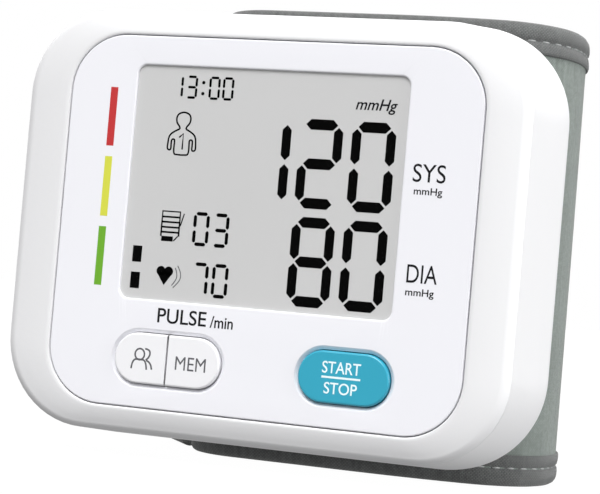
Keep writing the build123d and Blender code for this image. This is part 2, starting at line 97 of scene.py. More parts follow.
# each lamp: where its light comes from, how strong and how soft it is
lamps = {
    "keyLamp": {"from": (0.04, -0.60, 0.80), "strength": 3.55, "spread": 40},
    "sideLamp": {"from": (0.99, 0.02, 0.15), "strength": 3.0, "spread": 40},
    "backLamp": {"from": (-0.35, 0.80, 0.45), "strength": 2.2, "spread": 60},
}
for lampName, lamp in lamps.items():
    lampData = bpy.data.lights.new(lampName, "SUN")
    lampData.energy = lamp["strength"]
    lampData.angle = math.radians(lamp["spread"])
    lampObject = bpy.data.objects.new(lampName, lampData)
    bpy.context.scene.collection.objects.link(lampObject)
    lampObject.matrix_world = (-Vector(lamp["from"])).to_track_quat("-Z", "Y").to_matrix().to_4x4()


def newTree(name):
    material = bpy.data.materials.new(name)
    material.use_nodes = True
    tree = material.node_tree
    tree.nodes.clear()
    return material, tree


def addNode(tree, kind, **values):
    node = tree.nodes.new(kind)
    for key, value in values.items():
        setattr(node, key, value)
    return node


def wire(tree, source, target):
    tree.links.new(source, target)


# the backdrop and floor look white to the camera, and light the part with less than that
studio = {"fill": 0.32, "floorTone": 0.26, "floorGlow": 1.12, "glowShare": 0.88, "bounce": 0.38,
          "floorHalf": 4.0, "floorDrop": 0.0002}
world = bpy.data.worlds.new("studio")
world.use_nodes = True
bpy.context.scene.world = world
worldTree = world.node_tree
worldTree.nodes.clear()
seen = addNode(worldTree, "ShaderNodeLightPath")
backdrop = addNode(worldTree, "ShaderNodeBackground")
backdrop.inputs["Strength"].default_value = 1.0
fill = addNode(worldTree, "ShaderNodeBackground")
fill.inputs["Strength"].default_value = studio["fill"]
worldMix = addNode(worldTree, "ShaderNodeMixShader")
worldOut = addNode(worldTree, "ShaderNodeOutputWorld")
for shade in (backdrop, fill):
    shade.inputs["Color"].default_value = (1, 1, 1, 1)
wire(worldTree, seen.outputs["Is Camera Ray"], worldMix.inputs[0])
wire(worldTree, fill.outputs[0], worldMix.inputs[1])
wire(worldTree, backdrop.outputs[0], worldMix.inputs[2])
wire(worldTree, worldMix.outputs[0], worldOut.inputs[0])

floorMaterial, floorTree = newTree("paleFloor")
floorPath = addNode(floorTree, "ShaderNodeLightPath")
floorGlow = addNode(floorTree, "ShaderNodeEmission")
floorGlow.inputs["Strength"].default_value = studio["floorGlow"]
floorSkin = addNode(floorTree, "ShaderNodeBsdfDiffuse")
floorSkin.inputs["Color"].default_value = (studio["floorTone"],) * 3 + (1,)
floorPale = addNode(floorTree, "ShaderNodeMixShader")
floorPale.inputs[0].default_value = studio["glowShare"]
floorMix = addNode(floorTree, "ShaderNodeMixShader")
floorOut = addNode(floorTree, "ShaderNodeOutputMaterial")
wire(floorTree, floorSkin.outputs[0], floorPale.inputs[1])
wire(floorTree, floorGlow.outputs[0], floorPale.inputs[2])
wire(floorTree, floorPath.outputs["Is Camera Ray"], floorMix.inputs[0])
floorBounce = addNode(floorTree, "ShaderNodeEmission")
floorBounce.inputs["Strength"].default_value = studio["bounce"]
wire(floorTree, floorBounce.outputs[0], floorMix.inputs[1])
wire(floorTree, floorPale.outputs[0], floorMix.inputs[2])
wire(floorTree, floorMix.outputs[0], floorOut.inputs[0])

floorMesh = bpy.data.meshes.new("floor")
bm = bmesh.new()
bmesh.ops.create_grid(bm, x_segments=1, y_segments=1, size=studio["floorHalf"])
bm.to_mesh(floorMesh)
bm.free()
floorMesh.materials.append(floorMaterial)
floor = bpy.data.objects.new("floor", floorMesh)
floor.location.z = -studio["floorDrop"]
bpy.context.scene.collection.objects.link(floor)
print("stage ready")

# ---- shared shader groups


def newGroup(name, takes, gives):
    group = bpy.data.node_groups.new(name, "ShaderNodeTree")
    for label, kind, value in takes:
        socket = group.interface.new_socket(label, in_out="INPUT", socket_type=kind)
        if value is not None:
            socket.default_value = value
    for label, kind in gives:
        group.interface.new_socket(label, in_out="OUTPUT", socket_type=kind)
    return group, addNode(group, "NodeGroupInput"), addNode(group, "NodeGroupOutput")


def mathNode(tree, operation, first, second=None, third=None):
    node = addNode(tree, "ShaderNodeMath", operation=operation)
    for socket, value in zip(node.inputs, (first, second, third)):
        if value is None:
            continue
        if isinstance(value, (int, float)):
            socket.default_value = value
        else:
            wire(tree, value, socket)
    return node.outputs[0]


def mixColour(tree, amount, first, second, blend="MIX"):
    node = addNode(tree, "ShaderNodeMix", data_type="RGBA", blend_type=blend)
    for socket, value in ((node.inputs[0], amount), (node.inputs[6], first), (node.inputs[7], second)):
        if isinstance(value, (int, float, tuple)):
            socket.default_value = value
        else:
            wire(tree, value, socket)
    return node.outputs[2]


# moulded surface: fine grain for the bump, with roughness and tone that drift a little
moulded, takes, gives = newGroup(
    "mouldedSurface",
    [("Grain", "NodeSocketFloat", 900.0), ("Roughness", "NodeSocketFloat", 0.4), ("Drift", "NodeSocketFloat", 0.06),
     ("Colour", "NodeSocketColor", (0.8, 0.8, 0.8, 1.0)), ("Tone", "NodeSocketFloat", 0.02)],
    [("Height", "NodeSocketFloat"), ("Roughness", "NodeSocketFloat"), ("Colour", "NodeSocketColor")],
)
coordinates = addNode(moulded, "ShaderNodeTexCoord")
grain = addNode(moulded, "ShaderNodeTexNoise")
grain.inputs["Detail"].default_value = 3
wire(moulded, coordinates.outputs["Object"], grain.inputs["Vector"])
wire(moulded, takes.outputs["Grain"], grain.inputs["Scale"])
cloud = addNode(moulded, "ShaderNodeTexNoise")
cloud.inputs["Scale"].default_value = 60
cloud.inputs["Detail"].default_value = 4
wire(moulded, coordinates.outputs["Object"], cloud.inputs["Vector"])
drift = mathNode(moulded, "SUBTRACT", cloud.outputs[0], 0.5)
rough = mathNode(moulded, "MULTIPLY_ADD", drift, takes.outputs["Drift"], takes.outputs["Roughness"])
tone = mathNode(moulded, "MULTIPLY_ADD", drift, takes.outputs["Tone"], 1.0)
shaded = addNode(moulded, "ShaderNodeVectorMath", operation="SCALE")
wire(moulded, takes.outputs["Colour"], shaded.inputs[0])
wire(moulded, tone, shaded.inputs["Scale"])
wire(moulded, grain.outputs[0], gives.inputs["Height"])
wire(moulded, rough, gives.inputs["Roughness"])
wire(moulded, shaded.outputs[0], gives.inputs["Colour"])

# plain weave along the piece's own map, which is in metres
weave, takes, gives = newGroup(
    "plainWeave",
    [("Threads", "NodeSocketFloat", 2400.0), ("Warp", "NodeSocketColor", (0.3, 0.3, 0.3, 1.0)),
     ("Weft", "NodeSocketColor", (0.4, 0.4, 0.4, 1.0)), ("Streak", "NodeSocketFloat", 0.25),
     ("Depth", "NodeSocketFloat", 0.45)],
    [("Height", "NodeSocketFloat"), ("Colour", "NodeSocketColor")],
)
cloth = addNode(weave, "ShaderNodeUVMap", uv_map="clothMap")
parts = addNode(weave, "ShaderNodeSeparateXYZ")
wire(weave, cloth.outputs[0], parts.inputs[0])
turns = []
for axis in (0, 1):
    scaled = mathNode(weave, "MULTIPLY", parts.outputs[axis], takes.outputs["Threads"])
    turns.append(mathNode(weave, "MULTIPLY", scaled, math.pi))
halves = [mathNode(weave, "SINE", turn) for turn in turns]
rises = [mathNode(weave, "ABSOLUTE", half) for half in halves]
over = mathNode(weave, "GREATER_THAN", mathNode(weave, "MULTIPLY", halves[0], halves[1]), 0.0)
lift = addNode(weave, "ShaderNodeMix", data_type="FLOAT")
wire(weave, over, lift.inputs[0])
wire(weave, rises[0], lift.inputs[2])
wire(weave, rises[1], lift.inputs[3])
stretch = addNode(weave, "ShaderNodeMapping")
stretch.inputs["Scale"].default_value = (1500, 130, 1)
wire(weave, cloth.outputs[0], stretch.inputs["Vector"])
streaks = addNode(weave, "ShaderNodeTexNoise")
streaks.inputs["Scale"].default_value = 1.0
streaks.inputs["Detail"].default_value = 3
wire(weave, stretch.outputs[0], streaks.inputs["Vector"])
speck = addNode(weave, "ShaderNodeTexNoise")
speck.inputs["Scale"].default_value = 1400
wire(weave, cloth.outputs[0], speck.inputs["Vector"])
yarn = mixColour(weave, over, takes.outputs["Warp"], takes.outputs["Weft"])
flat = mathNode(weave, "SUBTRACT", 1.0, takes.outputs["Depth"])
ridge = mathNode(weave, "MULTIPLY_ADD", lift.outputs[0], takes.outputs["Depth"], flat)
mixed, flecks = (
    mathNode(weave, "MULTIPLY", mathNode(weave, "SUBTRACT", source.outputs[0], 0.5), takes.outputs["Streak"])
    for source in (streaks, speck)
)
level = mathNode(weave, "MULTIPLY", mathNode(weave, "ADD", mathNode(weave, "ADD", mixed, flecks), 1.0), ridge)
lit = addNode(weave, "ShaderNodeVectorMath", operation="SCALE")
wire(weave, yarn, lit.inputs[0])
wire(weave, level, lit.inputs["Scale"])
wire(weave, lift.outputs[0], gives.inputs["Height"])
wire(weave, lit.outputs[0], gives.inputs["Colour"])


def shine(tree, settings):
    shader = addNode(tree, "ShaderNodeBsdfPrincipled")
    out = addNode(tree, "ShaderNodeOutputMaterial")
    wire(tree, shader.outputs[0], out.inputs["Surface"])
    for socket, value in settings.items():
        shader.inputs[socket].default_value = value
    return shader


def mouldedMaterial(name, colour, roughness=0.4, grainSize=900.0, bump=0.05, drift=0.06, toneDrift=0.02, **sockets):
    material, tree = newTree(name)
    shader = shine(tree, sockets)
    group = addNode(tree, "ShaderNodeGroup", node_tree=moulded)
    group.inputs["Grain"].default_value = grainSize
    group.inputs["Roughness"].default_value = roughness
    group.inputs["Drift"].default_value = drift
    group.inputs["Colour"].default_value = (*colour, 1)
    group.inputs["Tone"].default_value = toneDrift
    relief = addNode(tree, "ShaderNodeBump")
    relief.inputs["Strength"].default_value = bump
    relief.inputs["Distance"].default_value = 0.0002
    wire(tree, group.outputs["Height"], relief.inputs["Height"])
    wire(tree, relief.outputs[0], shader.inputs["Normal"])
    wire(tree, group.outputs["Roughness"], shader.inputs["Roughness"])
    wire(tree, group.outputs["Colour"], shader.inputs["Base Color"])
    return material


def wovenMaterial(name, warp, weft, threads, streak, depth, bump):
    material, tree = newTree(name)
    shader = shine(tree, {"Roughness": 0.85, "Sheen Weight": 0.25, "Sheen Roughness": 0.5, "Specular IOR Level": 0.25})
    group = addNode(tree, "ShaderNodeGroup", node_tree=weave)
    group.inputs["Threads"].default_value = threads
    group.inputs["Warp"].default_value = (*warp, 1)
    group.inputs["Weft"].default_value = (*weft, 1)
    group.inputs["Streak"].default_value = streak
    group.inputs["Depth"].default_value = depth
    relief = addNode(tree, "ShaderNodeBump")
    relief.inputs["Strength"].default_value = bump
    relief.inputs["Distance"].default_value = 0.00015
    wire(tree, group.outputs["Height"], relief.inputs["Height"])
    wire(tree, relief.outputs[0], shader.inputs["Normal"])
    wire(tree, group.outputs["Colour"], shader.inputs["Base Color"])
    return material


whiteShell = mouldedMaterial("whiteShell", (0.79, 0.79, 0.802), 0.42, 1400.0, 0.05)
whitePlate = mouldedMaterial("whitePlate", (0.85, 0.85, 0.89), 0.35, 900.0, 0.02, toneDrift=0.01)
whiteKey = mouldedMaterial("whiteKey", (0.86, 0.86, 0.88), 0.3, 900.0, 0.02, **{"Coat Weight": 0.2})
tealKey = mouldedMaterial("tealKey", (0.030, 0.37, 0.52), 0.32, 900.0, 0.02, **{"Coat Weight": 0.2})
displayGrey = mouldedMaterial("displayGrey", (0.635, 0.635, 0.635), 0.5, 2500.0, 0.02, toneDrift=0.03)
segmentBlack = mouldedMaterial(
    "segmentBlack", (0.001, 0.001, 0.001), 0.7, 2500.0, 0.01, **{"Specular IOR Level": 0.02})
printBlack = mouldedMaterial(
    "printBlack", (0.008, 0.008, 0.010), 0.6, 2500.0, 0.02, **{"Specular IOR Level": 0.15})
printGrey = mouldedMaterial("printGrey", (0.10, 0.10, 0.11), 0.5, 2500.0, 0.02)
printPale = mouldedMaterial("printPale", (0.82, 0.95, 0.97), 0.45, 2500.0, 0.02)
printRed = mouldedMaterial("printRed", (0.53, 0.028, 0.030), 0.45, 2500.0, 0.02)
printYellow = mouldedMaterial("printYellow", (0.66, 0.68, 0.063), 0.45, 2500.0, 0.02)
printGreen = mouldedMaterial("printGreen", (0.145, 0.40, 0.02), 0.45, 2500.0, 0.02)
lensClear = mouldedMaterial(
    "lensClear", (0.02, 0.02, 0.02), 0.12, 900.0, 0.01, **{"Alpha": 0.025, "Specular IOR Level": 0.1})
coverCloth = wovenMaterial("coverCloth", (0.182, 0.211, 0.193), (0.242, 0.275, 0.255), 4200.0, 0.6, 0.22, 0.25)
liningCloth = wovenMaterial("liningCloth", (0.16, 0.18, 0.17), (0.21, 0.23, 0.22), 3000.0, 0.5, 0.4, 0.4)
bindingCloth = wovenMaterial("bindingCloth", (0.115, 0.12, 0.118), (0.15, 0.155, 0.153), 3800.0, 0.6, 0.3, 0.35)
hookTape = wovenMaterial("hookTape", (0.03, 0.032, 0.032), (0.055, 0.058, 0.058), 900.0, 0.6, 0.7, 0.9)
stitchThread = mouldedMaterial("stitchThread", (0.42, 0.43, 0.43), 0.7, 3000.0, 0.3)
print("materials ready")

# ---- making pieces


def place(bm, name, material, body, stands=(), smooth=True, recalc=True):
    if recalc:
        bmesh.ops.recalc_face_normals(bm, faces=bm.faces)
    for face in bm.faces:
        face.smooth = smooth
    mesh = bpy.data.meshes.new(name)
    bm.to_mesh(mesh)
    bm.free()
    mesh.materials.append(material)
    piece = bpy.data.objects.new(name, mesh)
    bpy.context.scene.collection.objects.link(piece)
    if body:
        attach(piece, body)
    if stands:
        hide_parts(*stands)
    return piece


def evenShading(piece, angle):
    # keeps flat faces flat to the eye and rounds only what turns less than the angle
    piece.data.set_sharp_from_angle(angle=math.radians(angle))
    even = piece.modifiers.new("evenShading", "WEIGHTED_NORMAL")
    even.keep_sharp = True
    return piece


def softenEdges(piece, width, angle):
    bevel = piece.modifiers.new("edges", "BEVEL")
    bevel.width = width * mm
    bevel.segments = 2
    bevel.limit_method = "ANGLE"
    bevel.angle_limit = math.radians(angle)
    bevel.harden_normals = True


def turned(bm, verts, degrees, axis):
    bmesh.ops.rotate(bm, cent=(0, 0, 0), matrix=Matrix.Rotation(math.radians(degrees), 3, axis), verts=verts)


def setOnFace(bm, verts, x, z, depth):
    # stands up what was drawn flat and moves it to its place on the face
    turned(bm, verts, 90, "X")
    bmesh.ops.translate(bm, vec=onFace(x, z, depth), verts=verts)


def newVerts(extruded):
    return [part for part in extruded["geom"] if isinstance(part, bmesh.types.BMVert)]


def roundedRing(bm, width, height, corner, depth, middle=(0, 0), steps=14):
    made = bmesh.ops.create_grid(bm, x_segments=1, y_segments=1, size=0.5)["verts"]
    bmesh.ops.scale(bm, vec=(width * mm, height * mm, 1), verts=made)
    setOnFace(bm, made, *middle, depth)
    face = made[0].link_faces[0]
    before = set(bm.faces) - {face}
    bmesh.ops.bevel(bm, geom=made, offset=corner * mm, offset_type="OFFSET", affect="VERTICES",
                    segments=steps, profile=0.5, material=-1, clamp_overlap=False)
    face = [f for f in bm.faces if f not in before][0]
    edges = list(face.edges)
    bmesh.ops.delete(bm, geom=[face], context="FACES_ONLY")
    return edges


def bridged(bm, rings, closed=False):
    pairs = list(zip(rings, rings[1:]))
    if closed:
        pairs.append((rings[-1], rings[0]))
    for first, second in pairs:
        bmesh.ops.bridge_loops(bm, edges=first + second)


def slotRing(bm, width, height, depth, middle):
    return roundedRing(bm, width, height, height / 2 - 0.01, depth, middle)


# front half of the casing: pocket for the faceplate, sloping bezel, rim strip, plug rim
bezel = {
    "plate": (66.0, 56.5, 8.75), "seam": 0.16, "crease": (77.7, 62.6, 12.4), "creaseDepth": 0.85,
    "split": (80.7, 64.6, 13.5), "splitDepth": 1.92, "rim": (77.6, 61.2, 10.4), "rimEnd": 5.0, "rimWall": 1.2,
    "ledgeDepth": 2.9, "pocketDepth": 1.68, "opening": (61.0, 51.5, 6.25),
    "pocketEdge": ((0, 1.68), (0, 0.22), (0.05, 0.06), (0.2, -0.02)),  # growth past the seam, and depth
    "slope": ((0.12, 0.03), (0.35, 0.22), (0.6, 0.48), (0.82, 0.74), (0.95, 0.94), (1.0, 1.0)),  # shares of way and depth
    "strip": ((0.25, 0.07), (0.6, 0.26), (1.0, 0.55), (1.3, 0.85)), "stripTall": 0.675, "stripCorner": 0.75,
    "splitEdge": ((-0.12, -0.15), (0, -0.05), (-0.05, 0.03)),
}
bm = bmesh.new()
plateW, plateH, plateR = bezel["plate"]
creaseW, creaseH, creaseR = bezel["crease"]
rimW, rimH, rimR = bezel["rim"]
rings = []
for past, depth in bezel["pocketEdge"]:
    grow = bezel["seam"] + past
    startW, startH, startR = plateW + 2 * grow, plateH + 2 * grow, plateR + grow
    rings.append(roundedRing(bm, startW, startH, startR, depth))
for share, sink in bezel["slope"]:
    rings.append(roundedRing(
        bm, startW + (creaseW - startW) * share, startH + (creaseH - startH) * share,
        startR + (creaseR - startR) * share, bezel["creaseDepth"] * sink, (caseShift * share, 0)))
for grow, depth in bezel["strip"]:
    rings.append(roundedRing(
        bm, creaseW + 2 * grow, creaseH + 2 * bezel["stripTall"] * grow, creaseR + bezel["stripCorner"] * grow,
        bezel["creaseDepth"] + depth, (caseShift, 0)))
splitW, splitH, splitR = bezel["split"]
for grow, depth in bezel["splitEdge"]:
    rings.append(roundedRing(
        bm, splitW + 2 * grow, splitH + 2 * grow, splitR + grow, bezel["splitDepth"] + depth, (caseShift, 0)))
rimWall, rimEnd = bezel["rimWall"], bezel["rimEnd"]
for wall, depth in ((0, bezel["splitDepth"]), (0, rimEnd), (rimWall, rimEnd), (rimWall, bezel["ledgeDepth"])):
    rings.append(roundedRing(bm, rimW - 2 * wall, rimH - 2 * wall, rimR - wall, depth, (caseShift, 0)))
for depth in (bezel["ledgeDepth"], bezel["pocketDepth"]):
    rings.append(roundedRing(bm, *bezel["opening"], depth))
bridged(bm, rings, closed=True)
casingFront = place(bm, "casingFront", whiteShell, "casing", ["front_housing"])
casingFront.data.set_sharp_from_angle(angle=math.radians(50))

# rear half and battery cover, welded from their solids and given soft edges
rear = {"edge": 0.12, "edgeAngle": 28, "fuller": 0.8, "fullerDepths": (2.4, 15.0), "fullerFrom": (22.0, 37.5)}


def between(low, high, value):
    share = min(1.0, max(0.0, (value - low) / (high - low)))
    return share * share * (3 - 2 * share)


def welded(name, node, body, fuller=0.0):
    # fuller is how far the right side stands out towards the back
    bm = bmesh.new()
    bm.from_mesh(nodes[node].data)
    if fuller:
        bmesh.ops.recalc_face_normals(bm, faces=bm.faces)
        for vert in bm.verts:
            deep = between(*rear["fullerDepths"], vert.co.y / mm - frontY)
            vert.co.x += fuller * mm * deep * between(*rear["fullerFrom"], vert.co.x / mm)
    bmesh.ops.remove_doubles(bm, verts=bm.verts, dist=2e-6)
    bmesh.ops.dissolve_limit(bm, angle_limit=math.radians(0.4), verts=bm.verts, edges=bm.edges)
    piece = place(bm, name, whiteShell, body, [node], recalc=False)
    softenEdges(piece, rear["edge"], rear["edgeAngle"])
    return evenShading(piece, rear["edgeAngle"])


welded("casingRear", "rear_housing", "casing", rear["fuller"])
welded("batteryCover", "battery_cover", "battery_cover")
print("casing ready")

# faceplate with its window and key openings
plate = {
    "window": (43.64, 35.71, 1.5), "windowAt": (-0.26, 5.99),
    "keys": {"pair": ((17.28, 7.68), (-13.07, -20.77)), "start": ((14.14, 7.68), (15.15, -20.77))},
    # growth or inset and depth, from the front
    "keySteps": ((0.74, 0.0), (0.68, 0.05), (0.16, 0.42), (0.12, 0.5), (0.12, 1.6)),
    "outerSteps": ((0.22, 0.0), (0.06, 0.05), (0.0, 0.2), (0.0, 1.6)),
    "windowSteps": ((0.3, 0.0), (0.08, 0.06), (0.0, 0.16), (0.0, 1.6)),
}
bm = bmesh.new()
outerRings = [roundedRing(bm, plateW - 2 * inset, plateH - 2 * inset, plateR - inset, depth)
              for inset, depth in plate["outerSteps"]]
windowW, windowH, windowR = plate["window"]
windowRings = [roundedRing(bm, windowW + 2 * grow, windowH + 2 * grow, windowR + grow, depth, plate["windowAt"])
               for grow, depth in plate["windowSteps"]]
holes = [outerRings, windowRings]
for (keyW, keyH), keyAt in plate["keys"].values():
    holes.append([slotRing(bm, keyW + 2 * grow, keyH + 2 * grow, depth, keyAt) for grow, depth in plate["keySteps"]])
for rings in holes:
    bridged(bm, rings)
for layer in (0, -1):
    edges = [edge for rings in holes for edge in rings[layer]]
    bmesh.ops.triangle_fill(bm, use_beauty=True, use_dissolve=False, edges=edges)
facePlate = place(bm, "facePlate", whitePlate, "casing", ["faceplate"])
evenShading(facePlate, 60)

# display: clear window over the grey cell
display = {
    "lensDepth": (0.2, 0.34), "lensEdge": 0.04, "lensGap": 0.05,
    "cellDepth": (0.4, 4.25), "cellEdge": 0.06, "cell": (44.6, 37.2, 0.6), "inkDepth": 0.385, "inkThick": 0.03,
}


def capped(bm, rings):
    for ring in (rings[0], rings[-1]):
        bmesh.ops.contextual_create(bm, geom=ring)


def slab(name, size, depths, edge, material, node):
    bm = bmesh.new()
    width, height, corner = size
    front, back = depths
    rings = []
    for inset, depth in ((edge, front), (0, front + edge), (0, back - edge), (edge, back)):
        rings.append(roundedRing(bm, width - 2 * inset, height - 2 * inset, corner - inset, depth, plate["windowAt"]))
    bridged(bm, rings)
    capped(bm, rings)
    evenShading(place(bm, name, material, "casing", [node]), 60)


lensGap = display["lensGap"]
lensSize = (windowW - 2 * lensGap, windowH - 2 * lensGap, windowR - lensGap)
slab("displayLens", lensSize, display["lensDepth"], display["lensEdge"], lensClear, "display_lens")
slab("displayCell", display["cell"], display["cellDepth"], display["cellEdge"], displayGrey, "lcd_panel")

# keys
keyShape = {"proud": 0.4, "crown": 0.35, "shoulder": 2.25, "flange": 0.9, "back": 2.9,
            "stem": 1.6, "stemEnd": 5.85, "gap": 0.3, "stemAt": 4.1}


def keyCap(name, node, body, size, middle, material, cut=0, stemX=0):
    bm = bmesh.new()
    width, height = size
    crown = keyShape["crown"]
    rings = []
    for turn in (90, 65, 40, 18, 0):
        inset = crown * (1 - math.cos(math.radians(turn)))
        depth = crown * (1 - math.sin(math.radians(turn))) - keyShape["proud"]
        rings.append(slotRing(bm, width - 2 * inset, height - 2 * inset, depth, middle))
    flange, shoulder = keyShape["flange"], keyShape["shoulder"]
    for grow, depth in ((0, shoulder), (flange, shoulder), (flange, keyShape["back"])):
        rings.append(slotRing(bm, width + 2 * grow, height + 2 * grow, depth, middle))
    bridged(bm, rings)
    capped(bm, rings)
    if cut:
        # half of the pair, cut at the split
        sideways = onFace(middle[0] + cut * keyShape["gap"] / 2, middle[1], 0)
        found = bmesh.ops.bisect_plane(bm, geom=bm.verts[:] + bm.edges[:] + bm.faces[:], dist=1e-7,
                                       plane_co=sideways, plane_no=(-cut, 0, 0), clear_outer=True)
        rim = [g for g in found["geom_cut"] if isinstance(g, bmesh.types.BMEdge)]
        bmesh.ops.contextual_create(bm, geom=rim)
    stemR, stemLong = keyShape["stem"] * mm, (keyShape["stemEnd"] - keyShape["back"]) * mm
    stem = bmesh.ops.create_cone(bm, cap_ends=True, segments=28, radius1=stemR, radius2=stemR, depth=stemLong)["verts"]
    setOnFace(bm, stem, middle[0] + stemX, middle[1], (keyShape["stemEnd"] + keyShape["back"]) / 2)
    evenShading(place(bm, name, material, body, [node]), 50)


pairSize, pairAt = plate["keys"]["pair"]
startSize, startAt = plate["keys"]["start"]
keyCap("userKey", "user_button", "user_key", pairSize, pairAt, whiteKey, -1, -keyShape["stemAt"])
keyCap("memoryKey", "memory_button", "memory_key", pairSize, pairAt, whiteKey, 1, keyShape["stemAt"])
keyCap("startKey", "start_stop_button", "start_key", startSize, startAt, tealKey)
print("faceplate, display and keys ready")

# ---- what the display shows, and the print on the faceplate and keys


def bar(bm, length, thick, middle, upright, point, depth, rise):
    # one bar with its ends cut to points; point is the share of half its thickness that is cut away
    made = bmesh.ops.create_grid(bm, x_segments=1, y_segments=1, size=0.5)["verts"]
    bmesh.ops.scale(bm, vec=(length * mm, thick * mm, 1), verts=made)
    face = made[0].link_faces[0]
    if point:
        before = set(bm.faces) - {face}
        bmesh.ops.bevel(bm, geom=made, offset=thick * mm / 2 * point, offset_type="OFFSET", affect="VERTICES",
                        segments=1, profile=0.5, material=-1, clamp_overlap=False)
        face = [f for f in bm.faces if f not in before][0]
    verts = list(face.verts)
    if upright:
        turned(bm, verts, 90, "Z")
    setOnFace(bm, verts, *middle, depth)
    raised = bmesh.ops.extrude_face_region(bm, geom=[face], use_keep_orig=True)
    bmesh.ops.translate(bm, vec=(0, rise * mm, 0), verts=newVerts(raised))


# the bars lit for each figure
figures = {
    "0": ("top", "bottom", "upperLeft", "upperRight", "lowerLeft", "lowerRight"),
    "1": ("upperRight", "lowerRight"),
    "2": ("top", "middle", "bottom", "upperRight", "lowerLeft"),
    "3": ("top", "middle", "bottom", "upperRight", "lowerRight"),
    "7": ("top", "upperRight", "lowerRight"),
    "8": ("top", "middle", "bottom", "upperLeft", "upperRight", "lowerLeft", "lowerRight"),
}
figureSizes = {
    "big": {"across": 5.35, "tall": 11.7, "flat": (4.98, 1.58), "post": (5.2, 1.44), "postAt": 2.92, "point": 0.96},
    "small": {"across": 2.1, "tall": 4.6, "flat": (1.78, 0.54), "post": (1.84, 0.52), "postAt": 1.16, "point": 0.75},
    "clock": {"across": 1.45, "tall": 3.15, "flat": (1.26, 0.38), "post": (1.34, 0.38), "postAt": 0.79, "point": 0.7},
}
readings = [
    ("big", "1", (0.2, 10.25)), ("big", "2", (8.33, 10.25)), ("big", "0", (16.52, 10.25)),
    ("big", "8", (8.33, -4.3)), ("big", "0", (16.52, -4.3)),
    ("small", "0", (-9.62, -0.62)), ("small", "3", (-6.4, -0.62)),
    ("small", "7", (-9.07, -8.2)), ("small", "0", (-5.84, -8.2)),
    ("clock", "1", (-15.45, 20.72)), ("clock", "3", (-13.12, 20.72)),
    ("clock", "0", (-9.4, 20.72)), ("clock", "0", (-7.17, 20.72)),
]
marks = [("clock", (0.52, 0.52), 0.6, ((-11.25, 21.5), (-11.25, 19.82))),
         ("small", (1.52, 2.48), 0, ((-19.78, -5.05), (-19.78, -9.07)))]
inkDepth, inkThick = display["inkDepth"], display["inkThick"]
shownDepth = inkDepth + 0.01
ink = {size: bmesh.new() for size in figureSizes}
for size, figure, (x, z) in readings:
    rule = figureSizes[size]
    across, tall = rule["across"] / 2, rule["tall"] / 2
    spots = {
        "top": (0, tall, False), "middle": (0, 0, False), "bottom": (0, -tall, False),
        "upperLeft": (-across, rule["postAt"], True), "upperRight": (across, rule["postAt"], True),
        "lowerLeft": (-across, -rule["postAt"], True), "lowerRight": (across, -rule["postAt"], True),
    }
    for spot in figures[figure]:
        dx, dz, upright = spots[spot]
        length, thick = rule["post"] if upright else rule["flat"]
        bar(ink[size], length, thick, (x + dx, z + dz), upright, rule["point"], inkDepth, inkThick)
for size, (length, thick), point, spots in marks:
    for spot in spots:
        bar(ink[size], length, thick, spot, False, point, inkDepth, inkThick)
for size in ink:
    place(ink[size], size + "Figures", segmentBlack, "casing", smooth=False)


def toMesh(name, data):
    holder = bpy.data.objects.new(name + "Outline", data)
    bpy.context.scene.collection.objects.link(holder)
    bpy.context.view_layer.update()
    made = bpy.data.meshes.new_from_object(holder.evaluated_get(bpy.context.evaluated_depsgraph_get()))
    bpy.data.objects.remove(holder)
    bm = bmesh.new()
    bm.from_mesh(made)
    bmesh.ops.remove_doubles(bm, verts=bm.verts, dist=1e-6)
    return bm


def lettering(name, words, box, depth, material, body, lean=0.0, weight=0.0):
    # words set upright and fitted to a box on the face: left, right, bottom, top
    data = bpy.data.curves.new(name, "FONT")
    data.body = words
    data.size = 1.0
    data.shear = lean
    data.offset = weight
    data.resolution_u = 6
    data.extrude = 0.02
    bm = toMesh(name, data)
    left, right, bottom, top = box
    lows = [min(v.co[i] for v in bm.verts) for i in range(2)]
    highs = [max(v.co[i] for v in bm.verts) for i in range(2)]
    stretchX = (right - left) * mm / (highs[0] - lows[0])
    stretchZ = (top - bottom) * mm / (highs[1] - lows[1])
    bmesh.ops.translate(bm, vec=(-lows[0], -lows[1], 0), verts=bm.verts)
    bmesh.ops.scale(bm, vec=(stretchX, stretchZ, mm * 0.75), verts=bm.verts)
    setOnFace(bm, bm.verts, left, bottom, depth)
    return place(bm, name, material, body, smooth=False)


def strokes(name, lines, width, depth=None, material=segmentBlack, body="casing"):
    # drawn lines: each a list of points on the face, with True first where the line is a smooth one
    depth = shownDepth if depth is None else depth
    data = bpy.data.curves.new(name, "CURVE")
    data.dimensions = "3D"
    data.bevel_depth = width / 2
    data.bevel_resolution = 2
    data.use_fill_caps = True
    for smoothLine, points in lines:
        spline = data.splines.new("NURBS" if smoothLine else "POLY")
        spline.points.add(len(points) - 1)
        for point, (x, z) in zip(spline.points, points):
            point.co = (x, z, 0, 1)
        if smoothLine:
            spline.order_u = 3
            spline.use_endpoint_u = True
            spline.resolution_u = 6
    bm = toMesh(name, data)
    bmesh.ops.scale(bm, vec=(mm, mm, mm * 0.12), verts=bm.verts)
    setOnFace(bm, bm.verts, 0, 0, depth)
    return place(bm, name, material, body)


def mirrored(line, middle=-14.0):
    return [(2 * middle - x, z) for x, z in line]


